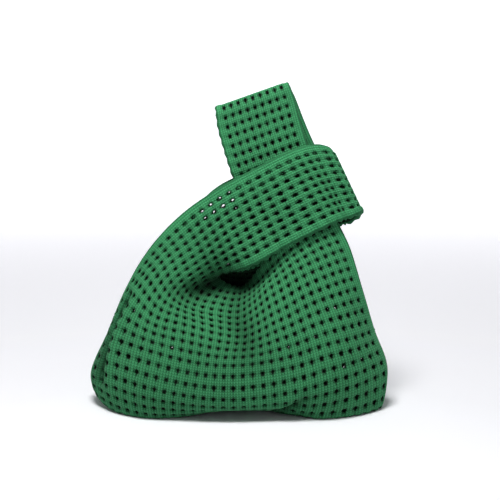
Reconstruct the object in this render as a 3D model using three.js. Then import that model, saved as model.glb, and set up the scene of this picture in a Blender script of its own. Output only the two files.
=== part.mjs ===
// Knitted bag, one piece of open eyelet knit that stands hollow: a body drawn in to a small mouth,
// and a loop handle on each shoulder. The long handle passes up through the short one.
// Millimetres, +Z up, front towards -Y. The origin is the middle of the underside.
//
// The cloth has its own coordinates. u counts the knit's repeats across, from the left side fold (0)
// to the right one (32). v counts rows up from the line under the bag: the front has v above 0, the
// back has v below 0. Each handle is ten repeats wide and goes over its end from front to back.
import * as THREE from "three";

// Cloth
const WALL = 2.4;
const NECK_ROW = 24;
const SLIT_LEFT = 13.5;
const SLIT_RIGHT = 12;
const SIDE_BLEND_ROWS = 5;
const NECK_BLEND_ROWS = 8;

// Mesh steps, in repeats and rows
const STEP_U = 2;
const STEP_V = 1.5;
const HANDLE_STEPS = 9;
const FOLD_STEPS = 3;

// Middle of the outline before it is moved to the origin
const MIDDLE_X = -1.96;
const MIDDLE_Y = 0.5;

// Columns of the body tables: the repeat u that each one follows
const FRONT_U = [0, 3, 6.5, 10, 16, 22, 25.5, 29, 32];
const BACK_U = [0, 10, 16, 22, 32];

// Underside, where front and back meet: x, y, z at each of FRONT_U
const UNDERSIDE = [
  [-100, 4, 1], [-87, 4, 0], [-67, 4, 0], [-47, 4, 2], [-2, 4, 5],
  [42, 4, 3], [66, 4, 0], [87, 2, 0], [98, 0, 1],
];

// Front of the body: row v, then x, y, z of the cloth at each of FRONT_U
const FRONT = [
  [5, [-119, -1, 8], [-103, -23, 3], [-78, -35, 0], [-53, -36, 1], [-4, -27, 6],
    [42, -33, 3], [68, -38, 0], [100, -28, 1], [117, -9, 2]],
  [8, [-125, 6, 24], [-107, -24, 24], [-80, -44, 21], [-53, -48, 17], [-5, -50, 14],
    [44, -48, 19], [72, -48, 25], [101, -32, 29], [121, -6, 31]],
  [12, [-109.5, 5, 61], [-101, -22, 62], [-74, -42, 58], [-47, -48, 52], [-5, -49, 47],
    [40, -47, 54], [66, -44, 62], [92, -30, 65], [110, -4, 64]],
  [16, [-92.5, -8, 100], [-85, -20, 97], [-68, -32, 83], [-44, -37, 77], [-2, -38, 68],
    [33, -34, 80], [56, -31, 92], [80, -22, 99], [98, -11, 102]],
  [20, [-73, -14, 133], [-63, -18, 124], [-54, -21, 106], [-42, -19, 92], [-2, -21, 85],
    [26, -18, 103], [46, -16, 117], [69, -13, 128], [88, -10, 134]],
  [24, [-48, -13, 160], [-37, -15, 144], [-28, -11, 125], [-22, 2, 110], [1, 6, 97],
    [21, 0, 120], [36, -6, 137], [56, -6, 152], [75, -5, 161]],
];

// Back of the body: row v, then x, y, z at each of BACK_U. The side folds (null) are the front's.
const BACK = [
  [5, null, [-56, 38, 1], [-3, 31, 5], [46, 36, 2], null],
  [8, null, [-57, 50, 21], [-4, 50, 18], [48, 50, 22], null],
  [12, null, [-54, 49, 55], [-3, 49, 50], [46, 48, 56], null],
  [16, [-92, 14, 98], [-51, 40, 84], [-2, 41, 75], [44, 37, 88], [98, 13, 102]],
  [20, [-72, 15, 128], [-43, 29, 108], [-1, 29, 95], [38, 21, 108], [87, 11, 132]],
  [24, [-46, 15, 153], [-27, 16, 118], [0, 16, 112], [27, 8, 123], [76, 6, 160]],
];

// Handles: row v, outer edge x, y, z, inner edge x, y, z, and how far the back layer is shifted in x and z.
// The last row is where the round end fold starts.
const SHORT_HANDLE = [
  [28, [-19, -14, 181], [9, -12, 122], [0, -1]],
  [32, [12, -13, 198], [41, -12, 140], [1, -3]],
  [36, [43, -12, 213], [78, -12, 158], [2, -7]],
  [38.2, [58, -12, 217.5], [86, -12, 160.5], [2, -8]],
];
const LONG_HANDLE = [
  [28, [64, -5, 189], [4, -4.5, 167], [9, 0]],
  [32, [52, -4.5, 220], [-7, -4.5, 199], [5, 1]],
  [37.6, [41, -4.5, 262], [-19, -4.5, 241], [0, 0]],
];
const HANDLE_U = 10;
const LAST_U = 32;

// Vectors as arrays of three numbers
const add = (a, b) => a.map((value, i) => value + b[i]);
const sub = (a, b) => a.map((value, i) => value - b[i]);
const scale = (a, k) => a.map((value) => value * k);
const mix = (a, b, k) => a.map((value, i) => value * (1 - k) + b[i] * k);
const length = (a) => Math.hypot(...a);
const smooth = (t) => {
  const k = Math.min(1, Math.max(0, t));
  return k * k * (3 - 2 * k);
};

// Slopes of a smooth curve through points at uneven steps, each from its two neighbours
function slopes(at, points) {
  const last = at.length - 1;
  const step = at.slice(1).map((value, i) => value - at[i]);
  const rise = step.map((size, i) => scale(sub(points[i + 1], points[i]), 1 / size));
  if (last === 1) return [rise[0], rise[0]];
  const endSlope = (near, far, nearRise, farRise) =>
    scale(sub(scale(nearRise, 2 * near + far), scale(farRise, near)), 1 / (near + far));
  return at.map((_, i) => {
    if (i === 0) return endSlope(step[0], step[1], rise[0], rise[1]);
    if (i === last) return endSlope(step[last - 1], step[last - 2], rise[last - 1], rise[last - 2]);
    const weighted = add(scale(rise[i - 1], step[i]), scale(rise[i], step[i - 1]));
    return scale(weighted, 1 / (step[i - 1] + step[i]));
  });
}

// Point at x on the cubic curve through the points with these slopes
function curveAt(at, points, slope, x) {
  let i = 0;
  while (i < at.length - 2 && x >= at[i + 1]) i += 1;
  const h = at[i + 1] - at[i];
  const t = (x - at[i]) / h;
  const start = add(
    scale(points[i], 2 * t ** 3 - 3 * t ** 2 + 1),
    scale(slope[i], h * (t ** 3 - 2 * t ** 2 + t)),
  );
  const end = add(
    scale(points[i + 1], 3 * t ** 2 - 2 * t ** 3),
    scale(slope[i + 1], h * (t ** 3 - t ** 2)),
  );
  return add(start, end);
}

// Back layer's point at each of FRONT_U for one row of BACK
function backRow(row, frontRow) {
  const points = row.slice(1);
  points[0] = points[0] ?? frontRow[1];
  points[points.length - 1] = points[points.length - 1] ?? frontRow[frontRow.length - 1];
  const slope = slopes(BACK_U, points);
  return FRONT_U.map((u) => curveAt(BACK_U, points, slope, u));
}

// One curve along the cloth for each of FRONT_U, from the back (v below 0) to the front
const COLUMNS = FRONT_U.map((u, column) => {
  const rows = [[0, UNDERSIDE[column]]];
  FRONT.forEach((row, i) => {
    rows.push([row[0], row[column + 1]]);
    rows.push([-row[0], backRow(BACK[i], row)[column]]);
  });
  const left = u <= HANDLE_U;
  const right = u >= LAST_U - HANDLE_U;
  const across = left ? u / HANDLE_U : (LAST_U - u) / HANDLE_U;
  for (const [v, outer, inner, shift] of left ? SHORT_HANDLE : right ? LONG_HANDLE : []) {
    const front = mix(outer, inner, across);
    rows.push([v, front]);
    rows.push([-v, [front[0] + shift[0], -front[1], front[2] + shift[1]]]);
  }
  rows.sort((a, b) => a[0] - b[0]);
  const at = rows.map((row) => row[0]);
  const points = rows.map((row) => row[1]);
  return { at, points, slope: slopes(at, points) };
});

// Point of one of these curves. Below the slit the side folds belong to both layers.
function columnPoint(column, v) {
  const { at, points, slope } = COLUMNS[column];
  const onCurve = (row) => curveAt(at, points, slope, row);
  const slit = column === 0 ? SLIT_LEFT : column === COLUMNS.length - 1 ? SLIT_RIGHT : null;
  if (slit === null || v >= 0) return onCurve(v);
  return mix(onCurve(-v), onCurve(v), smooth((-v - slit) / SIDE_BLEND_ROWS));
}

// Point of the middle of the cloth at u, v, short of the end folds
function clothPoint(u, v) {
  const row = Math.abs(v);
  const onHandle = row > NECK_ROW;
  const first = onHandle && u >= LAST_U - HANDLE_U ? FRONT_U.indexOf(LAST_U - HANDLE_U) : 0;
  const last = onHandle && u <= HANDLE_U ? FRONT_U.indexOf(HANDLE_U) : FRONT_U.length - 1;
  const at = FRONT_U.slice(first, last + 1);
  const points = at.map((_, i) => columnPoint(first + i, v));
  const slope = slopes(at, points);
  if (!onHandle) {
    const neck = smooth((row - NECK_ROW + NECK_BLEND_ROWS) / NECK_BLEND_ROWS);
    const inner = FRONT_U.indexOf(HANDLE_U);
    const far = FRONT_U.indexOf(LAST_U - HANDLE_U);
    slope[inner] = mix(slope[inner], slopes(at.slice(0, inner + 1), points)[inner], neck);
    slope[far] = mix(slope[far], slopes(at.slice(far), points.slice(far))[0], neck);
    const round = (edge, next, slit, sign) => {
      const part = 1 - smooth((row - slit + SIDE_BLEND_ROWS) / SIDE_BLEND_ROWS);
      const width = 2 * Math.abs(at[next] - at[edge]);
      const across = scale(sub(points[edge], columnPoint(next, -v)), sign / width);
      const facing = scale(sub(points[next], points[edge]), sign / width);
      slope[edge] = mix(slope[edge], add(across, facing), part);
    };
    round(0, 1, SLIT_LEFT, 1);
    round(at.length - 1, at.length - 2, SLIT_RIGHT, -1);
  }
  return curveAt(at, points, slope, u);
}

// Point on a handle's round end fold: angle 0 on the front, a half turn on the back
function foldPoint(u, lastRow, angle) {
  const front = clothPoint(u, lastRow);
  const back = clothPoint(u, -lastRow);
  const lead = sub(add(front, back), add(clothPoint(u, lastRow - 1), clothPoint(u, 1 - lastRow)));
  const ahead = scale([lead[0], 0, lead[2]], 1 / Math.hypot(lead[0], lead[2]));
  const half = scale(sub(front, back), 0.5);
  const middle = mix(front, back, 0.5);
  const round = add(scale(half, Math.cos(angle)), scale(ahead, length(half) * Math.sin(angle)));
  return add(middle, round);
}

// Grid of the cloth: vertices of its middle, shared where layers are one, and quads that face out
function clothGrid() {
  const points = [];
  const names = new Map();
  const quads = [];
  const vertex = (name, place) => {
    if (!names.has(name)) {
      names.set(name, points.length);
      const [x, y, z] = place();
      points.push([x - MIDDLE_X, y - MIDDLE_Y, Math.max(z, WALL / 2)]);
    }
    return names.get(name);
  };
  const body = (u, v) => {
    const joined = (u === 0 && -v <= SLIT_LEFT) || (u === LAST_U && -v <= SLIT_RIGHT);
    const row = joined ? Math.abs(v) : v;
    return vertex(`${u},${row}`, () => clothPoint(u, row));
  };
  const quad = (a, b, c, d) => quads.push([a, b, c, d]);
  for (let v = -NECK_ROW; v < NECK_ROW; v += STEP_V) {
    for (let u = 0; u < LAST_U; u += STEP_U) {
      quad(body(u, v), body(u + STEP_U, v), body(u + STEP_U, v + STEP_V), body(u, v + STEP_V));
    }
  }
  for (const [start, table] of [[0, SHORT_HANDLE], [LAST_U - HANDLE_U, LONG_HANDLE]]) {
    const lastRow = table[table.length - 1][0];
    const step = (lastRow - NECK_ROW) / HANDLE_STEPS;
    const turns = 2 * (HANDLE_STEPS + FOLD_STEPS);
    const handle = (u, turn) => {
      if (turn === 0) return body(u, NECK_ROW);
      if (turn === turns) return body(u, -NECK_ROW);
      const place = () => {
        if (turn <= HANDLE_STEPS) return clothPoint(u, NECK_ROW + turn * step);
        if (turn >= turns - HANDLE_STEPS) return clothPoint(u, -NECK_ROW - (turns - turn) * step);
        const angle = (Math.PI / 2) * ((turn - HANDLE_STEPS) / FOLD_STEPS);
        return foldPoint(u, lastRow, angle);
      };
      return vertex(`${u},turn ${turn}`, place);
    };
    for (let turn = 0; turn < turns; turn += 1) {
      for (let u = start; u < start + HANDLE_U; u += STEP_U) {
        quad(handle(u, turn), handle(u + STEP_U, turn), handle(u + STEP_U, turn + 1), handle(u, turn + 1));
      }
    }
  }
  return { points, quads };
}

// Closed body of even thickness on both sides of the grid, with its free edges walled over
function thicken({ points, quads }) {
  const normals = points.map(() => new THREE.Vector3());
  const edges = new Map();
  for (const quad of quads) {
    const [a, b, c, d] = quad.map((i) => new THREE.Vector3(...points[i]));
    const facing = new THREE.Vector3().crossVectors(c.sub(a), d.sub(b));
    for (const i of quad) normals[i].add(facing);
    quad.forEach((from, i) => edges.set(`${from},${quad[(i + 1) % 4]}`, [from, quad[(i + 1) % 4]]));
  }
  const place = points.map((point, i) => {
    const n = normals[i].normalize().multiplyScalar(WALL / 2).toArray();
    const outer = add(point, n);
    const inner = sub(point, n);
    const onFloor = point[2] <= WALL / 2;
    return [[outer[0], outer[1], onFloor ? 0 : Math.max(0, outer[2])], inner];
  });
  const position = [...place.map((pair) => pair[0]), ...place.map((pair) => pair[1])];
  const inside = (i) => i + points.length;
  const index = [];
  for (const [a, b, c, d] of quads) {
    index.push(a, b, c, a, c, d);
    index.push(inside(a), inside(c), inside(b), inside(a), inside(d), inside(c));
  }
  for (const [from, to] of edges.values()) {
    if (edges.has(`${to},${from}`)) continue;
    index.push(to, from, inside(from), to, inside(from), inside(to));
  }
  const geometry = new THREE.BufferGeometry();
  geometry.setAttribute("position", new THREE.Float32BufferAttribute(position.flat(), 3));
  geometry.setIndex(index);
  geometry.computeVertexNormals();
  return geometry;
}

const knit = new THREE.MeshStandardMaterial({ color: 0x2f7d4b, roughness: 0.92, metalness: 0 });
const cloth = new THREE.Mesh(thicken(clothGrid()), knit);
cloth.name = "knit_bag";

const bag = new THREE.Group();
bag.name = "knitted_bag";
bag.add(cloth);

export default bag;
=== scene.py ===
"""Looks of the knitted bag.

One eyelet knit cloth is laid on the same curves as the CAD part. Its eyelets, its puffed repeats and its
rolled edges are real geometry, and its single stitches are in the material.

The cloth's own coordinates are those of the part's source. u counts the knit's repeats across, from the
left side fold (0) to the right one (32). v counts rows up from the line under the bag, above 0 on the front
and below 0 on the back. w is the row along a handle: it runs on from the front's v, over the round end and
down to the back. On the body it is v. Tables are in millimetres."""

import math

import bpy
import numpy as np
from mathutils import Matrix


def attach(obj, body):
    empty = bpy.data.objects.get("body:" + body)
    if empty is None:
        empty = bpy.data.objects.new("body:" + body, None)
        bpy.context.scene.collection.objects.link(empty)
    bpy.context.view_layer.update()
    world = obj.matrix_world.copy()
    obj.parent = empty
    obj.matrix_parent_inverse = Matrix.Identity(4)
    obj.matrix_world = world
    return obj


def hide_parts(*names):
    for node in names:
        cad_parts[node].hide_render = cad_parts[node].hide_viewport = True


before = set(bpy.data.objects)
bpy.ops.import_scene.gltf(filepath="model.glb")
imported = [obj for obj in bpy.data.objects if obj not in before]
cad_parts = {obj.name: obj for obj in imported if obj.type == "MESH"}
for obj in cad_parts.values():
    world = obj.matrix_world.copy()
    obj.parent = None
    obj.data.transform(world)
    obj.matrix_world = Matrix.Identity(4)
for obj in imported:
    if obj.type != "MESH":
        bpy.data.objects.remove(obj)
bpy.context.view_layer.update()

# The cloth's curves, as in the part's source

WALL = 2.4
NECK_ROW = 24
SLIT_LEFT = 13.5
SLIT_RIGHT = 12
SIDE_BLEND_ROWS = 5
NECK_BLEND_ROWS = 8
MIDDLE = np.array([-1.96, 0.5, 0.0])
HANDLE_U = 10
LAST_U = 32
LONG_U = LAST_U - HANDLE_U  # where the long handle starts
FRONT_U = [0, 3, 6.5, 10, 16, 22, 25.5, 29, 32]
BACK_U = [0, 10, 16, 22, 32]

# Underside: x, y, z at each of FRONT_U
UNDERSIDE = [
    (-100, 4, 1), (-87, 4, 0), (-67, 4, 0), (-47, 4, 2), (-2, 4, 5),
    (42, 4, 3), (66, 4, 0), (87, 2, 0), (98, 0, 1),
]

# Front: row v, then x, y, z at each of FRONT_U
FRONT = [
    (5, (-119, -1, 8), (-103, -23, 3), (-78, -35, 0), (-53, -36, 1), (-4, -27, 6),
     (42, -33, 3), (68, -38, 0), (100, -28, 1), (117, -9, 2)),
    (8, (-125, 6, 24), (-107, -24, 24), (-80, -44, 21), (-53, -48, 17), (-5, -50, 14),
     (44, -48, 19), (72, -48, 25), (101, -32, 29), (121, -6, 31)),
    (12, (-109.5, 5, 61), (-101, -22, 62), (-74, -42, 58), (-47, -48, 52), (-5, -49, 47),
     (40, -47, 54), (66, -44, 62), (92, -30, 65), (110, -4, 64)),
    (16, (-92.5, -8, 100), (-85, -20, 97), (-68, -32, 83), (-44, -37, 77), (-2, -38, 68),
     (33, -34, 80), (56, -31, 92), (80, -22, 99), (98, -11, 102)),
    (20, (-73, -14, 133), (-63, -18, 124), (-54, -21, 106), (-42, -19, 92), (-2, -21, 85),
     (26, -18, 103), (46, -16, 117), (69, -13, 128), (88, -10, 134)),
    (24, (-48, -13, 160), (-37, -15, 144), (-28, -11, 125), (-22, 2, 110), (1, 6, 97),
     (21, 0, 120), (36, -6, 137), (56, -6, 152), (75, -5, 161)),
]

# Back: row v, then x, y, z at each of BACK_U. The side folds (None) are the front's.
BACK = [
    (5, None, (-56, 38, 1), (-3, 31, 5), (46, 36, 2), None),
    (8, None, (-57, 50, 21), (-4, 50, 18), (48, 50, 22), None),
    (12, None, (-54, 49, 55), (-3, 49, 50), (46, 48, 56), None),
    (16, (-92, 14, 98), (-51, 40, 84), (-2, 41, 75), (44, 37, 88), (98, 13, 102)),
    (20, (-72, 15, 128), (-43, 29, 108), (-1, 29, 95), (38, 21, 108), (87, 11, 132)),
    (24, (-46, 15, 153), (-27, 16, 118), (0, 16, 112), (27, 8, 123), (76, 6, 160)),
]

# Handles: row v, outer edge, inner edge, and the back layer's shift in x and z
SHORT_HANDLE = [
    (28, (-19, -14, 181), (9, -12, 122), (0, -1)),
    (32, (12, -13, 198), (41, -12, 140), (1, -3)),
    (36, (43, -12, 213), (78, -12, 158), (2, -7)),
    (38.2, (58, -12, 217.5), (86, -12, 160.5), (2, -8)),
]
LONG_HANDLE = [
    (28, (64, -5, 189), (4, -4.5, 167), (9, 0)),
    (32, (52, -4.5, 220), (-7, -4.5, 199), (5, 1)),
    (37.6, (41, -4.5, 262), (-19, -4.5, 241), (0, 0)),
]

# Rows that a handle's round end takes, so that a whole number of rows goes round
SHORT_END_ROWS = 4.6
LONG_END_ROWS = 1.8

# Regions of the cloth. Lists with a value for each region are in this order.
BODY, SHORT, LONG = range(3)
HANDLES = {
    SHORT: dict(first=0, last=SHORT_HANDLE[-1][0], end=SHORT_END_ROWS),
    LONG: dict(first=LONG_U, last=LONG_HANDLE[-1][0], end=LONG_END_ROWS),
}
for facts in HANDLES.values():
    facts["rows"] = round(2 * facts["last"] + facts["end"])
FIRST_U = np.array([0] + [facts["first"] for facts in HANDLES.values()])
ROWS = np.array([0] + [facts["rows"] for facts in HANDLES.values()])
WIDTH_U = np.array([LAST_U, HANDLE_U, HANDLE_U])

# Moves of the knit along the cloth, in repeats and rows
BACK_SHIFT = 0.38  # the back layers' eyelets lie this far across and along from the front's
SHIFT_ROWS = 4  # over which that starts and ends
SHIFT_REPEATS = 4
CORNER = np.array([0, 0.8, 0.35])  # how far a handle's edges draw in on its round end
CORNER_ROWS = 1.5
CORNER_POWER = 4


def smooth(t):
    k = np.clip(t, 0, 1)
    return k * k * (3 - 2 * k)


def over(value, start, width):
    """0 up to start and 1 from start + width on, or the other way round where the width is below 0."""
    return smooth((value - start) / width)


def bell(value, width):
    return np.exp(-((value / width) ** 2))


def slopes(at, points):
    """Slopes of a smooth curve through points at uneven steps, each from its two neighbours."""
    step = np.diff(np.asarray(at, float)).reshape(-1, *[1] * (points.ndim - 1))
    rise = np.diff(points, axis=0) / step
    out = np.empty_like(points)
    out[1:-1] = (rise[:-1] * step[1:] + rise[1:] * step[:-1]) / (step[1:] + step[:-1])
    out[0] = ((2 * step[0] + step[1]) * rise[0] - step[0] * rise[1]) / (step[0] + step[1])
    out[-1] = ((2 * step[-1] + step[-2]) * rise[-1] - step[-1] * rise[-2]) / (step[-1] + step[-2])
    return out


def curve_at(at, points, slope, x):
    """Points at x on a cubic curve. points and slope may hold a curve for each x, on their second axis."""
    at = np.asarray(at, float)
    i = np.clip(np.searchsorted(at, x, side="right") - 1, 0, len(at) - 2)
    step = at[i + 1] - at[i]
    t = ((x - at[i]) / step)[:, None]
    step = step[:, None]

    def pick(table, j):
        return table[j] if table.ndim == 2 else table[j, np.arange(len(x))]

    return (
        pick(points, i) * (2 * t**3 - 3 * t**2 + 1)
        + pick(slope, i) * step * (t**3 - 2 * t**2 + t)
        + pick(points, i + 1) * (3 * t**2 - 2 * t**3)
        + pick(slope, i + 1) * step * (t**3 - t**2)
    )


def back_row(row, front):
    """The back's points at each of FRONT_U for one row of BACK."""
    points = list(row[1:])
    points[0] = points[0] or front[1]
    points[-1] = points[-1] or front[-1]
    points = np.array(points, float)
    return curve_at(BACK_U, points, slopes(BACK_U, points), np.array(FRONT_U, float))


def columns():
    """One curve along the cloth for each of FRONT_U, from the back (v below 0) to the front."""
    backs = [back_row(row, front) for row, front in zip(BACK, FRONT)]
    out = []
    for column, u in enumerate(FRONT_U):
        rows = {0: UNDERSIDE[column]}
        for front, back in zip(FRONT, backs):
            rows[front[0]] = front[column + 1]
            rows[-front[0]] = back[column]
        left, right = u <= HANDLE_U, u >= LONG_U
        across = u / HANDLE_U if left else (LAST_U - u) / HANDLE_U
        for v, outer, inner, shift in SHORT_HANDLE if left else LONG_HANDLE if right else ():
            x, y, z = np.array(outer) * (1 - across) + np.array(inner) * across
            rows[v] = (x, y, z)
            rows[-v] = (x + shift[0], -y, z + shift[1])
        at = sorted(rows)
        points = np.array([rows[v] for v in at], float)
        out.append((at, points, slopes(at, points)))
    return out


COLUMNS = columns()


def column_point(column, v):
    """Points on one column. Below its slit, a side fold is the front's on the back too."""
    at, points, slope = COLUMNS[column]
    slit = {0: SLIT_LEFT, len(COLUMNS) - 1: SLIT_RIGHT}.get(column)
    here = curve_at(at, points, slope, v)
    if slit is None:
        return here
    part = np.where(v >= 0, 1, smooth((-v - slit) / SIDE_BLEND_ROWS))[:, None]
    return curve_at(at, points, slope, -v) * (1 - part) + here * part


def part_at_neck(at, points, slope, row):
    """The curves across the cloth part near the neck, where each handle's inner edge starts."""
    neck = smooth((row - NECK_ROW + NECK_BLEND_ROWS) / NECK_BLEND_ROWS)[:, None]
    inner, far = FRONT_U.index(HANDLE_U), FRONT_U.index(LONG_U)
    own = slopes(at[: inner + 1], points[: inner + 1])[inner]
    slope[inner] = slope[inner] * (1 - neck) + own * neck
    own = slopes(at[far:], points[far:])[0]
    slope[far] = slope[far] * (1 - neck) + own * neck


def turn_at_sides(at, points, slope, v):
    """Below the slits, the curves across the cloth turn round the side folds from front to back."""
    for edge, near, slit, sign in ((0, 1, SLIT_LEFT, 1), (-1, -2, SLIT_RIGHT, -1)):
        part = 1 - smooth((np.abs(v) - slit + SIDE_BLEND_ROWS) / SIDE_BLEND_ROWS)[:, None]
        width = 2 * abs(at[near] - at[edge])
        turned = (points[near] - column_point(near % len(at), -v)) * sign / width
        slope[edge] = slope[edge] * (1 - part) + turned * part


def cloth_point(u, v, region):
    """Points of the middle of the cloth. region says which handle a point above the neck is on."""
    first = FRONT_U.index(LONG_U) if region == LONG else 0
    last = FRONT_U.index(HANDLE_U) if region == SHORT else len(FRONT_U) - 1
    at = FRONT_U[first : last + 1]
    points = np.stack([column_point(first + i, v) for i in range(len(at))])
    slope = slopes(at, points)
    if region == BODY:
        part_at_neck(at, points, slope, np.abs(v))
        turn_at_sides(at, points, slope, v)
    return curve_at(at, points, slope, u)


def fold_point(u, last, angle, region):
    """Points on a handle's round end: angle 0 on the front, a half turn on the back."""
    same = np.full(len(u), float(last))
    front, back = cloth_point(u, same, region), cloth_point(u, -same, region)
    lead = front + back - cloth_point(u, same - 1, region) - cloth_point(u, 1 - same, region)
    lead[:, 1] = 0
    ahead = lead / np.linalg.norm(lead, axis=1)[:, None]
    half = (front - back) / 2
    reach = np.linalg.norm(half, axis=1)[:, None]
    angle = angle[:, None]
    return (front + back) / 2 + half * np.cos(angle) + ahead * reach * np.sin(angle)


def laid(region, u, w):
    """u and w moved along the cloth: aside in the back layers, and inwards at a handle's round end."""
    width, fold = WIDTH_U[region], ROWS[region] / 2
    left = u - FIRST_U[region]
    row = np.where(region == BODY, -w, w)
    neck = np.where(region == BODY, NECK_ROW, ROWS[region] - NECK_ROW)
    moved = BACK_SHIFT * smooth((row - fold) / SHIFT_ROWS) * smooth((neck - row) / SHIFT_ROWS)
    moved = moved * smooth(left / SHIFT_REPEATS) * smooth((width - left) / SHIFT_REPEATS)
    drawn = CORNER[region] * bell(w - fold, CORNER_ROWS)
    share = left / width
    inwards = drawn * ((1 - share) ** CORNER_POWER - share**CORNER_POWER)
    return u + moved + inwards, w + moved


def middle_of_cloth(region, u, w):
    """Points in millimetres, in the part's own frame."""
    u, w = laid(region, u, w)
    out = np.empty((len(u), 3))
    on = region == BODY
    out[on] = cloth_point(u[on], w[on], BODY)
    for handle, facts in HANDLES.items():
        last, rows = facts["last"], facts["rows"]
        front = (region == handle) & (w <= last)
        back = (region == handle) & (w >= rows - last)
        end = (region == handle) & ~front & ~back
        out[front] = cloth_point(u[front], w[front], handle)
        out[end] = fold_point(u[end], last, math.pi * (w[end] - last) / facts["end"], handle)
        out[back] = cloth_point(u[back], w[back] - rows, handle)
    out -= MIDDLE
    out[:, 2] = np.maximum(out[:, 2], WALL / 2)
    return out


# The knit: thicknesses in millimetres, other sizes in repeats and rows

HALF = 1.05  # half of the cloth's thickness
HEM = 0.35  # added to it at the plain edges
PUFF = np.array([1.7, 3.5, 1.7])  # how far a repeat stands out between its eyelets
PUFF_MIDDLE = 0.45  # share of a repeat's relief that lies outside the middle of the cloth
ROLL = np.array([2.2, 2.6, 1.3])  # how much thicker the lip and the handles' inner edges are, each way
ROLL_LEAST = 0.35  # share of that between the bumps of the rolled edges

# Where these start, in repeats from an edge, and how much further they are full
PUFF_FADE = (0.25, 0.5)
ROLL_FADE = (0.8, -0.5)
HEM_FADE = (0.5, -0.5)
MOST_DISTANCE = 2.0  # to which distances from an edge are kept

EYELET = (0.19, 0.165)  # half width and half height of an eyelet
EYELET_TIP = 1.4  # its lower end is this many times as far down as its top is up
EYELET_NARROWING = 0.45  # towards that end
EYELET_TILT = math.radians(16)
EYELET_SCALE = (0.95, 1.08, 1.08)  # in each region
EYELET_LIMITS = (0.55, 1.08)  # of this, where rows are crowded and where they are wide
WIDE_ROW = 8.6  # rows this high, in mm, have eyelets at their full size
CROWDING = 0.6  # power of the row's height that the scale follows

# How unlike each other eyelets are: ranges of factors, and a spread
SCALE_RANGE = (0.86, 1.14)
TILT_RANGE = (0.2, 1.8)
SIDE_RANGE = (0.9, 1.1)
EYELET_ASTRAY = 0.02

# Eyelets are smaller where the left side turns away
LEFT_CLOSING = 0.4
LEFT_REPEATS = 2.2
LEFT_START = (3, 2)  # row where this starts, and rows on which it is full
LEFT_END = (17, -3)  # row where it ends, and rows back from there

THROAT = 0.45  # how far the yarn swells into an eyelet
BACK_THROAT = 1.15  # in the back layers, so that few eyelets line up to let light through
OPEN_SHOULDER = (2.2, 17)  # but not left of this repeat above this row
EDGE_BULGE = 0.9  # how round the cloth's edges are, against its thickness

PINCH_WIDTH = 0.17  # of the grooves that run from each eyelet to the next
PINCH_LENGTH = 0.26  # how far from the eyelets they stay deep
PIT_WIDTH = 0.25  # of a pit round each eyelet
TAIL = 0.13  # the columns' grooves are deepest this far below the eyelets
COLUMN_GROOVE = 0.06  # depth of a groove half way between two eyelets of a column
ROW_GROOVE = 0.26  # and of a row
ROW_SHARE = 0.9  # depth of the rows' grooves against the columns'
PIT_SHARE = 0.7  # and of the pits
PINCH = 0.5  # of all of them, against the puff

LOOP_POINTS = 16  # points round an eyelet, four to a side of its repeat
LOOP_START = -0.75 * math.pi  # the lower left corner
RINGS = (0.0, 0.22, 0.55, 1.0)  # from the eyelet's edge to the repeat's edge
STRIP_STEP = 0.25  # between the points of plain cloth
RIM_STEPS = 3
EYELET_RIM = (0, 2, RIM_STEPS + 1)  # layers that an eyelet's rim runs through
CUT_AT = 0.5  # pieces meet half a repeat or half a row from their last eyelets
FLOOR_GAP = 0.05  # mm that the knit stays above the floor
TINY = 1e-6
SHORTEST = 1e-12
SAME_PLACE = 1e5  # steps in a repeat or a row, within which points count as one
MM_IN_METRE = 1000

# Pieces of the cloth, by label, and the looks of its faces: the outside, and darker copies of it with
# painted shade for the inside and for the walls of the eyelets and cuts
FRONT_PIECE, BACK_PIECE, SHORT_PIECE, LONG_PIECE = range(4)
OUTSIDE, SHADED_INSIDE, SHADED_EYELET = range(3)
BRIGHT_REPEATS = 1.3  # the inside has no painted shade and looks like the outside this near to a plain edge

# Creases of the front, placed one by one: from u, v to u, v, half width in repeats, height in mm
CREASES = [
    (2.2, 15.5, 2.0, 8.0, 0.5, -7.0),
    (3.0, 15.0, 3.0, 7.5, 0.6, 3.0),
    (15.5, 21.5, 18.0, 12.0, 1.5, -3.5),
    (12.5, 23.0, 7.5, 20.0, 1.3, -4.0),
    (19.3, 5.0, 22.8, 7.8, 0.6, -5.0),
    (20.4, 7.4, 23.4, 9.6, 0.9, 2.0),
    (21.5, 20.5, 21.0, 13.0, 1.3, 1.8),
]
CREASE_SHADE = 0.11  # painted shade: how much darker the cloth is painted in a crease, for each mm of its depth
CREASE_ENDS = 0.15  # share of a half wave that is cut off at either end of a crease

# Painted shade where little light gets in, and darker towards the bottom: u, v, half widths in u and v, how
# dark
HOLLOWS = [
    (16.9, 25.2, 4.6, 3.0, 0.97),
    (10.6, 24.4, 2.0, 2.5, 0.65),
    (1.0, 10.0, 1.0, 5.0, 0.3),
    (16.0, 4.0, 30.0, 11.0, 0.31),
    (26.5, 2.5, 5.5, 4.0, 0.15),
]
DARKEST = 0.97
SHADED_ROWS = 5  # rows of the handles' fronts, above the neck, that have this shade too

rng = np.random.default_rng(11)


def eyelet_scale(region, u, w):
    """Scales of eyelets, which close up where their rows are crowded."""
    regions = np.full(len(u), region)
    step = 0.4  # of a row, up and down
    rise = middle_of_cloth(regions, u, w + step) - middle_of_cloth(regions, u, w - step)
    row_height = np.linalg.norm(rise, axis=1) / (2 * step)
    scale = np.clip((row_height / WIDE_ROW) ** CROWDING, *EYELET_LIMITS) * EYELET_SCALE[region]
    if region == BODY:
        turning = bell(u, LEFT_REPEATS) * over(w, *LEFT_START) * over(w, *LEFT_END)
        scale = scale * (1 - LEFT_CLOSING * turning)
    return scale


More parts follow.
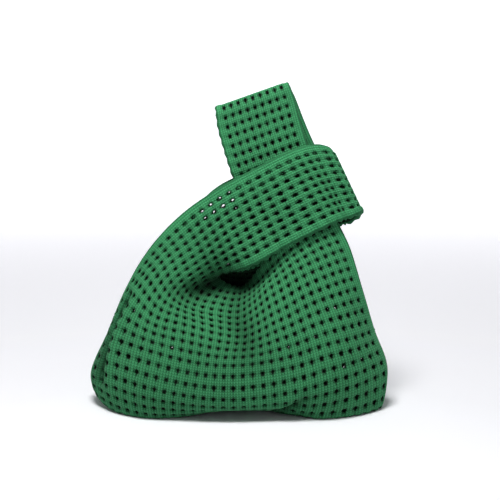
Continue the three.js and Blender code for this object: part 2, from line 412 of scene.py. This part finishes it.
def eyelet_outlines(scale):
    """Outlines of eyelets about their own middles, one for each scale, no two alike."""
    count = len(scale)
    scale = scale * rng.uniform(*SCALE_RANGE, count)
    tilt = EYELET_TILT * rng.uniform(*TILT_RANGE, count)[:, None]
    half_width, half_height = (half * scale * rng.uniform(*SIDE_RANGE, count) for half in EYELET)
    turn = LOOP_START + np.arange(LOOP_POINTS) * 2 * math.pi / LOOP_POINTS
    low = np.maximum(0, -np.sin(turn))
    x = half_width[:, None] * np.cos(turn) * (1 - EYELET_NARROWING * low)
    y = half_height[:, None] * np.sin(turn) * (1 + (EYELET_TIP - 1) * low)
    u = x * np.cos(tilt) - y * np.sin(tilt) + rng.normal(0, EYELET_ASTRAY, count)[:, None]
    w = x * np.sin(tilt) + y * np.cos(tilt) + rng.normal(0, EYELET_ASTRAY, count)[:, None]
    return u, w


def square_outline():
    """As many points round the edge of a repeat, from its lower left corner."""
    side = np.arange(LOOP_POINTS // 4) / (LOOP_POINTS // 4) - 0.5
    full = np.full_like(side, 0.5)
    return np.concatenate([side, full, -side, -full]), np.concatenate([-full, side, full, -side])


class Cloth:
    """Patches of the cloth's middle, and then the whole of it, merged where they meet."""

    def __init__(self):
        self.patches, self.size = [], 0

    def patch(self, region, u, w, quads, label):
        regions, labels = np.full(u.size, region), np.full(len(quads), label)
        self.patches.append((regions, u.ravel(), w.ravel(), quads + self.size, labels))
        self.size += u.size

    def strip(self, region, u0, u1, w0, w1, label):
        """Plain cloth without eyelets."""
        us = np.linspace(u0, u1, round((u1 - u0) / STRIP_STEP) + 1)
        ws = np.linspace(w0, w1, round((w1 - w0) / STRIP_STEP) + 1)
        w, u = np.meshgrid(ws, us, indexing="ij")
        name = np.arange(u.size).reshape(u.shape)
        quads = np.stack([name[:-1, :-1], name[:-1, 1:], name[1:, 1:], name[1:, :-1]], -1)
        self.patch(region, u, w, quads.reshape(-1, 4), label)

    def repeats(self, region, us, ws, label):
        """Repeats of the knit, each with rings of points from its eyelet out to its edge."""
        middle_u, middle_w = (a.ravel() for a in np.meshgrid(us, ws))
        hole_u, hole_w = eyelet_outlines(eyelet_scale(region, middle_u, middle_w))
        square_u, square_w = square_outline()
        share = np.array(RINGS)[None, :, None]
        u = middle_u[:, None, None] + hole_u[:, None] * (1 - share) + square_u * share
        w = middle_w[:, None, None] + hole_w[:, None] * (1 - share) + square_w * share
        ring, point = np.meshgrid(np.arange(len(RINGS) - 1), np.arange(LOOP_POINTS), indexing="ij")
        near, far, after = ring * LOOP_POINTS, (ring + 1) * LOOP_POINTS, (point + 1) % LOOP_POINTS
        one = np.stack([far + point, far + after, near + after, near + point], -1).reshape(-1, 4)
        starts = np.arange(len(middle_u)) * len(RINGS) * LOOP_POINTS
        self.patch(region, u, w, (one + starts[:, None, None]).reshape(-1, 4), label)

    def merge(self):
        """Joins the patches at the neck and down the side folds. Corners keep their patch's own u and w."""
        region, u, w, self.local, self.labels = (np.concatenate(a) for a in zip(*self.patches))
        self.corner_u, self.corner_w = u, w
        handle = region != BODY
        back = handle & (w >= ROWS[region] - NECK_ROW)
        w = np.where(back, w - ROWS[region], w)
        region = np.where(handle & (w <= NECK_ROW) | back, BODY, region)
        left_fold = (u == 0) & (w >= -SLIT_LEFT)
        right_fold = (u == LAST_U) & (w >= -SLIT_RIGHT)
        w = np.where((region == BODY) & (left_fold | right_fold), np.abs(w), w)
        keys = np.stack([region, np.rint(u * SAME_PLACE), np.rint(w * SAME_PLACE)], -1)
        keys = keys.astype(np.int64)
        _, first, name = np.unique(keys, axis=0, return_index=True, return_inverse=True)
        self.region, self.u, self.w = region[first], u[first], w[first]
        self.faces = name.reshape(-1)[self.local]


def knitted():
    """The whole cloth: the body's front and back, its plain edges and lip, and the two handles."""
    made = Cloth()
    body_u = np.arange(1, LAST_U)
    made.repeats(BODY, body_u, np.arange(1, NECK_ROW), FRONT_PIECE)
    made.repeats(BODY, body_u, np.arange(1 - NECK_ROW, 1), BACK_PIECE)
    lip = NECK_ROW - CUT_AT
    for label, low, high in ((FRONT_PIECE, CUT_AT, lip), (BACK_PIECE, -lip, CUT_AT)):
        made.strip(BODY, 0, CUT_AT, low, high, label)
        made.strip(BODY, LAST_U - CUT_AT, LAST_U, low, high, label)
    made.strip(BODY, HANDLE_U, LONG_U, lip, NECK_ROW, FRONT_PIECE)
    made.strip(BODY, HANDLE_U, LONG_U, -NECK_ROW, -lip, BACK_PIECE)
    for handle, label in ((SHORT, SHORT_PIECE), (LONG, LONG_PIECE)):
        first, rows = HANDLES[handle]["first"], HANDLES[handle]["rows"]
        own_u = np.arange(first + 1, first + HANDLE_U)
        made.repeats(handle, own_u, np.arange(NECK_ROW, rows - NECK_ROW + 1), label)
        for u in (first, first + HANDLE_U - CUT_AT):
            made.strip(handle, u, u + CUT_AT, lip, rows - lip, label)
    made.merge()
    return made


def summed(names, values, count):
    """For each named point, the sum of the values of what names it."""
    out = np.zeros((count, 3))
    for column in names.T:
        for axis in range(3):
            out[:, axis] += np.bincount(column, values[:, axis], count)
    return out


def unit(vectors):
    return vectors / np.maximum(np.linalg.norm(vectors, axis=1), SHORTEST)[:, None]


def normals_of(points, faces):
    across = points[faces[:, 2]] - points[faces[:, 0]]
    up = points[faces[:, 3]] - points[faces[:, 1]]
    return unit(summed(faces, np.cross(across, up), len(points)))


def edge_distance(region, u, w):
    """Repeats to the nearest plain outer edge and to the nearest rolled edge."""
    plain = np.minimum(u, LAST_U - u)
    aside = np.maximum(0, np.maximum(HANDLE_U - u, u - LONG_U))
    lip = np.hypot(NECK_ROW - np.abs(w), aside)
    rolled = np.choose(region, [lip, HANDLE_U - u, u - LONG_U])
    return np.minimum(plain, MOST_DISTANCE), np.minimum(rolled, MOST_DISTANCE)


def pinched(u, w):
    """How far the cloth is drawn in round its eyelets and between them, 0 to about 1."""
    du, dw = u - np.rint(u), w - np.rint(w)
    near_eyelet = COLUMN_GROOVE + (1 - COLUMN_GROOVE) * bell(dw + TAIL, PINCH_LENGTH)
    along = bell(du, PINCH_WIDTH) * near_eyelet
    near_eyelet = ROW_GROOVE + (1 - ROW_GROOVE) * bell(du, PINCH_LENGTH)
    across = bell(dw, PINCH_WIDTH) * near_eyelet
    pit = bell(np.hypot(du, dw), PIT_WIDTH)
    return PINCH * (along + ROW_SHARE * across + PIT_SHARE * pit)


def creases(region, u, v):
    """Height of the creases, and the painted shade that darkens the cloth in them and in the hollows."""
    high, dark = np.zeros(len(u)), np.zeros(len(u))
    for u0, v0, u1, v1, width, height in CREASES:
        du, dv = u1 - u0, v1 - v0
        t = np.clip(((u - u0) * du + (v - v0) * dv) / (du**2 + dv**2), 0, 1)
        away = np.hypot(u - u0 - t * du, v - v0 - t * dv)
        wave = np.sin(math.pi * (CREASE_ENDS + (1 - 2 * CREASE_ENDS) * t))
        here = height * bell(away, width) * wave
        high += here
        dark += np.maximum(0, -here) * CREASE_SHADE
    for u0, v0, across, up, depth in HOLLOWS:
        dark += depth * bell(u - u0, across) * bell(v - v0, up)
    front = (v >= 0) & (v < NECK_ROW + SHADED_ROWS)
    return np.where(region == BODY, high, 0), np.where(front, np.minimum(dark, DARKEST), 0)


def relief(region, u, w, plain, rolled):
    """Height of the relief over the middle of the cloth, half of its thickness, and its painted shade."""
    crease, shade = creases(region, u, w)
    puff = (PUFF_MIDDLE - pinched(u, w)) * over(np.minimum(plain, rolled), *PUFF_FADE)
    along = np.where(region == BODY, u, w)
    bumps = ROLL_LEAST + (1 - ROLL_LEAST) * (1 - np.cos(2 * math.pi * along)) / 2
    roll = ROLL[region] * over(rolled, *ROLL_FADE) * bumps
    thick = HALF + roll + HEM * over(plain, *HEM_FADE)
    return PUFF[region] * puff + crease, thick, shade


def face_edges(faces):
    return np.concatenate([faces[:, [k, (k + 1) % 4]] for k in range(4)])


def free_and_cut(edges, labels, count):
    """Which edges have no face on their other side, and which have another piece's."""
    code = edges[:, 0] * count + edges[:, 1]
    back_code = edges[:, 1] * count + edges[:, 0]
    order = np.argsort(code)
    found = order[np.clip(np.searchsorted(code[order], back_code), 0, len(code) - 1)]
    paired = code[found] == back_code
    return ~paired, paired & (labels[found] != labels)


def outward_of(free_edges, points, normals):
    """At the points of free edges, the way along the cloth and out of it."""
    start, end = free_edges.T
    away = np.cross(points[end] - points[start], (normals[start] + normals[end]) / 2)
    return unit(summed(free_edges, away, len(points)))


def rim_bulge(region, u, w, thick, on_edge):
    """How far the rims stand out: half round at the cloth's edges, less so in its eyelets."""
    behind = np.where(region == BODY, w < 0, 2 * w > ROWS[region])
    row = np.abs(np.where(behind, w - ROWS[region], w))
    open_u, open_row = OPEN_SHOULDER
    narrow = behind & ~((u < open_u) & (row > open_row))
    return np.where(on_edge, EDGE_BULGE * thick, np.where(narrow, BACK_THROAT, THROAT))


class Surface:
    """The cloth with its thickness: layers of points from its outer side, round its rims, to its inner side.

    Each face has its points, the cloth's own corners under them, the label of its piece and its look."""

    def __init__(self, cloth):
        region, u, w = cloth.region, cloth.u, cloth.w
        self.cloth, self.count = cloth, len(u)
        self.edges, self.local_edges = face_edges(cloth.faces), face_edges(cloth.local)
        self.edge_labels = np.tile(cloth.labels, 4)
        plain, rolled = edge_distance(region, u, w)
        self.rim_distance = np.minimum(plain, rolled)
        height, thick, self.shade = relief(region, u, w, plain, rolled)
        on_edge = self.rim_distance < TINY
        free, cut = free_and_cut(self.edges, self.edge_labels, self.count)
        middle = middle_of_cloth(region, u, w)
        normals = normals_of(middle, cloth.faces)
        outward = outward_of(self.edges[free], middle, normals)
        bulge = rim_bulge(region, u, w, thick, on_edge)
        self.points = np.concatenate([
            middle
            + normals * (height + thick * math.cos(angle))[:, None]
            + outward * (bulge * math.sin(angle))[:, None]
            for angle in np.linspace(0, math.pi, RIM_STEPS + 2)
        ])
        self.points[:, 2] = np.maximum(self.points[:, 2], FLOOR_GAP)
        bright = plain[cloth.faces].max(axis=1) < BRIGHT_REPEATS
        self.add_faces(free, cut, free & ~on_edge[self.edges[:, 0]], bright)

    def wall(self, on, layer, next_layer, look):
        """Faces on some of the edges, from one layer to another."""
        (start, end), (local_start, local_end) = self.edges[on].T, self.local_edges[on].T
        upper, lower = layer * self.count, next_layer * self.count
        faces = np.stack([end + upper, start + upper, start + lower, end + lower], -1)
        corners = np.stack([local_end, local_start, local_start, local_end], -1)
        return faces, corners, self.edge_labels[on], np.full(len(faces), look)

    def add_faces(self, free, cut, in_eyelet, bright):
        """Both sides, the rims of the cloth and of its eyelets, and the cuts where two pieces meet."""
        cloth, last = self.cloth, RIM_STEPS + 1
        # The inner side takes the look with painted shade, except near the plain edges, and the walls of
        # eyelets and cuts take the darker one
        inner = cloth.faces[:, ::-1] + last * self.count
        made = [
            (cloth.faces, cloth.local, cloth.labels, np.full(len(cloth.faces), OUTSIDE)),
            (inner, cloth.local[:, ::-1], cloth.labels, np.where(bright, OUTSIDE, SHADED_INSIDE)),
        ]
        for k in range(last):
            made.append(self.wall(free & ~in_eyelet, k, k + 1, OUTSIDE))
        for k, m in zip(EYELET_RIM, EYELET_RIM[1:]):
            made.append(self.wall(in_eyelet, k, m, SHADED_EYELET))
        self.normals = normals_of(self.points, np.concatenate([part[0] for part in made]))
        made.append(self.wall(cut, 0, last, SHADED_EYELET))
        self.faces, self.local, self.labels, self.looks = (np.concatenate(a) for a in zip(*made))


def placed(name, data):
    """A new object in the scene."""
    made = bpy.data.objects.new(name, data)
    bpy.context.scene.collection.objects.link(made)
    return made


def piece(surface, name, label, materials):
    own = surface.labels == label
    used, corners = np.unique(surface.faces[own], return_inverse=True)
    mesh = bpy.data.meshes.new(name)
    mesh.from_pydata((surface.points[used] / MM_IN_METRE).tolist(), [], corners.reshape(-1, 4).tolist())
    at, near = surface.local[own].ravel(), surface.faces[own].ravel() % surface.count
    # The map rims carries each point's distance from a rim and its painted shade
    for map_name, first, second in (
        ("knit", surface.cloth.corner_u[at], surface.cloth.corner_w[at]),
        ("rims", surface.rim_distance[near], surface.shade[near]),
    ):
        uv = mesh.uv_layers.new(name=map_name)
        uv.data.foreach_set("uv", np.stack([first, second], -1).astype(np.float32).ravel())
    mesh.polygons.foreach_set("use_smooth", np.ones(len(mesh.polygons), bool))
    mesh.normals_split_custom_set_from_vertices(surface.normals[used].tolist())
    for material in materials:
        mesh.materials.append(material)
    mesh.polygons.foreach_set("material_index", surface.looks[own].astype(np.int32))
    mesh.update()
    made = placed(name, mesh)
    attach(made, "root")
    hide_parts("knit_bag")
    return made


# Materials

WALES = 3.5  # columns of stitches in one repeat
COURSES = 4.5  # and rows of them
STITCH_SLANT = 1.1  # of a stitch's legs
STITCH_FLATNESS = 0.7  # power of a column's round top, below 1 to flatten it
STITCH_DEPTH = 0.32  # of the waves along a column
YARN_NOISE = (900, 3, 0.4)  # scale, detail and strength of the yarn's unevenness
DYE_NOISE = (26, 2, 0.2)  # and of the cloth's
TONE = 0.165
STITCH_TONE = 0.6  # how much of the tone follows the stitches, with painted shade between them
PINCH_PAINTED_SHADE = 0.32  # and how much painted shade lowers it in a groove
PINCH_DEPTH = 1.4  # of the grooves, against the stitches
BUMP = 0.0005  # metres
RIM_FADE = (2.5, -0.75)  # the grooves fade out between 0.7 and 0.3 repeats from a rim
RAMP = (0.1, 0.9)  # tones of the two colours

# Colours between the stitches and on their tops, for each look; the darker one is painted shade in the gaps
# and pinches. The inside and eyelet looks are darker copies of the knit, with painted shade
KNIT_COLOURS = (
    ("green_knit", (0.0015, 0.012, 0.005), (0.055, 0.32, 0.125)),
    ("painted_shade_knit_inside", (0.0006, 0.004, 0.0015), (0.006, 0.036, 0.013)),
    ("painted_shade_eyelet", (0.0003, 0.002, 0.0008), (0.002, 0.012, 0.005)),
)


def node(tree, kind, **values):
    made = tree.nodes.new(kind)
    for name, value in values.items():
        setattr(made, name, value)
    return made


def math_node(tree, operation, *inputs):
    made = node(tree, "ShaderNodeMath", operation=operation)
    for i, value in enumerate(inputs):
        if isinstance(value, (int, float)):
            made.inputs[i].default_value = value
        else:
            tree.links.new(value, made.inputs[i])
    return made.outputs[0]


def uv_nodes(tree, name):
    """The two coordinates of a UV map."""
    place = node(tree, "ShaderNodeUVMap", uv_map=name)
    split = node(tree, "ShaderNodeSeparateXYZ")
    tree.links.new(place.outputs[0], split.inputs[0])
    return split.outputs[0], split.outputs[1]


def noise_node(tree, scale, detail):
    body = node(tree, "ShaderNodeTexCoord")
    made = node(tree, "ShaderNodeTexNoise")
    made.inputs["Scale"].default_value = scale
    made.inputs["Detail"].default_value = detail
    tree.links.new(body.outputs["Object"], made.inputs["Vector"])
    return made.outputs[0]


def bell_node(tree, value, width):
    square = math_node(tree, "MULTIPLY", value, value)
    return math_node(tree, "EXPONENT", math_node(tree, "MULTIPLY", square, -1 / width**2))


def stitch_node(tree, across, up):
    """One stitch: a V of two slanting legs, with a gap between one column of them and the next."""
    wale = math_node(tree, "FRACT", math_node(tree, "MULTIPLY", across, WALES))
    column = math_node(tree, "SINE", math_node(tree, "MULTIPLY", wale, math.pi))
    column = math_node(tree, "POWER", column, STITCH_FLATNESS)
    leg = math_node(tree, "ABSOLUTE", math_node(tree, "SUBTRACT", wale, 0.5))
    course = math_node(tree, "MULTIPLY", up, COURSES)
    slant = math_node(tree, "MULTIPLY_ADD", leg, -STITCH_SLANT, course)
    loop = math_node(tree, "COSINE", math_node(tree, "MULTIPLY", slant, 2 * math.pi))
    loop = math_node(tree, "MULTIPLY_ADD", loop, STITCH_DEPTH, 1 - STITCH_DEPTH)
    return math_node(tree, "MULTIPLY", column, loop)


def from_whole(tree, value):
    """How far a value is from the nearest whole number, with its sign."""
    shifted = math_node(tree, "FRACT", math_node(tree, "ADD", value, 0.5))
    return math_node(tree, "SUBTRACT", shifted, 0.5)


def groove_node(tree, aside, ahead, least):
    """A groove that is deepest at the eyelets: how far aside of it, how far from an eyelet along it."""
    near_eyelet = bell_node(tree, ahead, PINCH_LENGTH)
    near_eyelet = math_node(tree, "MULTIPLY_ADD", near_eyelet, 1 - least, least)
    return math_node(tree, "MULTIPLY", bell_node(tree, aside, PINCH_WIDTH), near_eyelet)


def pinch_node(tree, across, up, rim):
    """The pinches round the eyelets, as pinched() has them before PINCH, and none by the rims."""
    du, dw = from_whole(tree, across), from_whole(tree, up)
    column = groove_node(tree, du, math_node(tree, "ADD", dw, TAIL), COLUMN_GROOVE)
    row = groove_node(tree, dw, du, ROW_GROOVE)
    pit = math_node(tree, "MULTIPLY", bell_node(tree, du, PIT_WIDTH), bell_node(tree, dw, PIT_WIDTH))
    pinch = math_node(tree, "MULTIPLY_ADD", row, ROW_SHARE, column)
    pinch = math_node(tree, "MULTIPLY_ADD", pit, PIT_SHARE, pinch)
    inner = math_node(tree, "MULTIPLY_ADD", rim, *RIM_FADE)
    inner = math_node(tree, "MINIMUM", math_node(tree, "MAXIMUM", inner, 0), 1)
    return math_node(tree, "MULTIPLY", pinch, inner)


def ramp_node(tree, value, low, high):
    ramp = node(tree, "ShaderNodeValToRGB")
    for element, position, colour in zip(ramp.color_ramp.elements, RAMP, (low, high)):
        element.position = position
        element.color = (*colour, 1)
    tree.links.new(value, ramp.inputs[0])
    return ramp.outputs[0]


def knit_material(name, low, high):
    """Knit in the colours low, painted as shade between the stitches and in the pinches, and high, on the
    stitches' tops.
    """
    material = bpy.data.materials.new(name)
    material.use_nodes = True
    tree = material.node_tree
    shader = tree.nodes["Principled BSDF"]
    across, up = uv_nodes(tree, "knit")
    rim, shade_of_point = uv_nodes(tree, "rims")
    scale, detail, strength = YARN_NOISE
    yarn = noise_node(tree, scale, detail)
    stitches = math_node(tree, "MULTIPLY_ADD", yarn, strength, stitch_node(tree, across, up))
    pinch = pinch_node(tree, across, up, rim)

    bump = node(tree, "ShaderNodeBump")
    bump.inputs["Strength"].default_value = 1.0
    bump.inputs["Distance"].default_value = BUMP
    raised = math_node(tree, "MULTIPLY_ADD", pinch, -PINCH_DEPTH, stitches)
    tree.links.new(raised, bump.inputs["Height"])
    tree.links.new(bump.outputs[0], shader.inputs["Normal"])

    # The tone: painted shade between the stitches and in the pinches, and the dye's random unevenness
    tone = math_node(tree, "MULTIPLY_ADD", stitches, STITCH_TONE, TONE)
    tone = math_node(tree, "MULTIPLY_ADD", pinch, -PINCH_PAINTED_SHADE, tone)
    scale, detail, strength = DYE_NOISE
    tone = math_node(tree, "MULTIPLY_ADD", noise_node(tree, scale, detail), strength, tone)
    shaded = node(tree, "ShaderNodeVectorMath", operation="SCALE")
    tree.links.new(ramp_node(tree, tone, low, high), shaded.inputs[0])
    # The painted shade of the creases and hollows darkens the base colour
    lit = math_node(tree, "MULTIPLY_ADD", shade_of_point, -1, 1)
    tree.links.new(lit, shaded.inputs["Scale"])
    tree.links.new(shaded.outputs[0], shader.inputs["Base Color"])

    shader.inputs["Roughness"].default_value = 0.9
    shader.inputs["Specular IOR Level"].default_value = 0.1
    shader.inputs["Sheen Weight"].default_value = 0.05
    shader.inputs["Sheen Roughness"].default_value = 0.5
    shader.inputs["Sheen Tint"].default_value = (0.5, 0.9, 0.6, 1)
    return material


# Name, label, flat width and length in metres, and how it is held
PIECES = (
    ("knit_front", FRONT_PIECE, (0.27, 0.195), "gathered"),
    ("knit_back", BACK_PIECE, (0.27, 0.195), "gathered"),
    ("knit_short_handle", SHORT_PIECE, (0.065, 0.285), "folded"),
    ("knit_long_handle", LONG_PIECE, (0.065, 0.25), "folded"),
)
surface = Surface(knitted())
knit = [knit_material(*colours) for colours in KNIT_COLOURS]
for name, label, flat, held in PIECES:
    piece(surface, name, label, knit)

# Floor, light and camera, in metres

FLOOR_RINGS = (0.02, 0.5, 1.0)
FLOOR_RADIUS = 2.0
SWEEP = 0.6
SWEEP_STEPS = 13
WALL_TOP = 1.0
FLOOR_TURNS = 96
FLOOR_COLOUR = (0.87, 0.87, 0.9, 1)
GLOW_COLOUR = (0.96, 0.96, 1, 1)
GLOW = 0.8
GLOW_FROM, GLOW_TO = 0.2, 3.0
GLOW_BEHIND = 1.5  # what the way back counts besides the distance, so that the glow is behind the object

# Name, place, size and power
LAMPS = (
    ("key", (-0.08, -0.32, 0.86), 0.28, 9.0),
    ("fill", (1.2, -1.0, 0.8), 1.0, 2.5),
)
LAMP_TARGET = (0, 0, 0.1)
WORLD_LIGHT = 0.1

CAMERA_DISTANCE = 0.85
CAMERA_ELEVATION = math.radians(10)
CAMERA_TARGET = (0.00996, -0.0005, 0.131)
HALF_IMAGE, FOCAL = 250, 1036.6  # pixels


def floor_mesh():
    """A round floor whose far edge sweeps up, so that no horizon shows from any side."""
    profile = [(radius, 0.0) for radius in FLOOR_RINGS]
    for angle in np.linspace(0, math.pi / 2, SWEEP_STEPS):
        profile.append((FLOOR_RADIUS + SWEEP * math.sin(angle), SWEEP * (1 - math.cos(angle))))
    profile.append((FLOOR_RADIUS + SWEEP, WALL_TOP))
    made, quads = [], [tuple(range(FLOOR_TURNS))]
    for i, (radius, z) in enumerate(profile):
        start = (i - 1) * FLOOR_TURNS
        for k in range(FLOOR_TURNS):
            angle = 2 * math.pi * k / FLOOR_TURNS
            made.append((radius * math.cos(angle), radius * math.sin(angle), z))
            after = (k + 1) % FLOOR_TURNS
            if i:
                corners = (start + k, start + FLOOR_TURNS + k, start + FLOOR_TURNS + after, start + after)
                quads.append(corners)
    mesh = bpy.data.meshes.new("floor")
    mesh.from_pydata(made, [], quads)
    mesh.polygons.foreach_set("use_smooth", np.ones(len(mesh.polygons), bool))
    return mesh


def floor_material():
    """Pale, and glowing a little away from the object, as a backdrop with lamps of its own does."""
    material = bpy.data.materials.new("pale_floor")
    material.use_nodes = True
    tree = material.node_tree
    shader = tree.nodes["Principled BSDF"]
    shader.inputs["Base Color"].default_value = FLOOR_COLOUR
    shader.inputs["Roughness"].default_value = 0.8
    place = node(tree, "ShaderNodeTexCoord")
    away = node(tree, "ShaderNodeVectorMath", operation="LENGTH")
    tree.links.new(place.outputs["Object"], away.inputs[0])
    split = node(tree, "ShaderNodeSeparateXYZ")
    tree.links.new(place.outputs["Object"], split.inputs[0])
    glow = node(tree, "ShaderNodeMapRange")
    glow.inputs["From Min"].default_value = GLOW_FROM
    glow.inputs["From Max"].default_value = GLOW_TO
    glow.inputs["To Max"].default_value = GLOW
    reach = math_node(tree, "MULTIPLY_ADD", split.outputs[1], GLOW_BEHIND, away.outputs["Value"])
    tree.links.new(reach, glow.inputs["Value"])
    shader.inputs["Emission Color"].default_value = GLOW_COLOUR
    tree.links.new(glow.outputs[0], shader.inputs["Emission Strength"])
    return material


def floor():
    mesh = floor_mesh()
    mesh.materials.append(floor_material())
    placed("floor", mesh)


def lamp(name, place, size, power):
    data = bpy.data.lights.new(name, "AREA")
    data.size = size
    data.energy = power
    made = placed(name, data)
    made.location = place
    x, y, z = np.array(LAMP_TARGET) - np.array(place)
    made.rotation_euler = (math.atan2(math.hypot(x, y), -z), 0, math.atan2(y, x) - math.pi / 2)


def studio_world():
    world = bpy.data.worlds.new("studio")
    world.use_nodes = True
    background = world.node_tree.nodes["Background"]
    background.inputs["Color"].default_value = (1, 1, 1, 1)
    background.inputs["Strength"].default_value = WORLD_LIGHT
    bpy.context.scene.world = world


def photo_camera():
    data = bpy.data.cameras.new("camera")
    data.angle = 2 * math.atan(HALF_IMAGE / FOCAL)
    data.clip_start = 0.05
    camera = placed("camera", data)
    x, y, z = CAMERA_TARGET
    back, up = math.cos(CAMERA_ELEVATION), math.sin(CAMERA_ELEVATION)
    camera.location = (x, y - CAMERA_DISTANCE * back, z + CAMERA_DISTANCE * up)
    camera.rotation_euler = (math.pi / 2 - CAMERA_ELEVATION, 0, 0)
    bpy.context.scene.camera = camera


floor()
for row in LAMPS:
    lamp(*row)
studio_world()
photo_camera()
bpy.context.scene.view_settings.view_transform = "Standard"
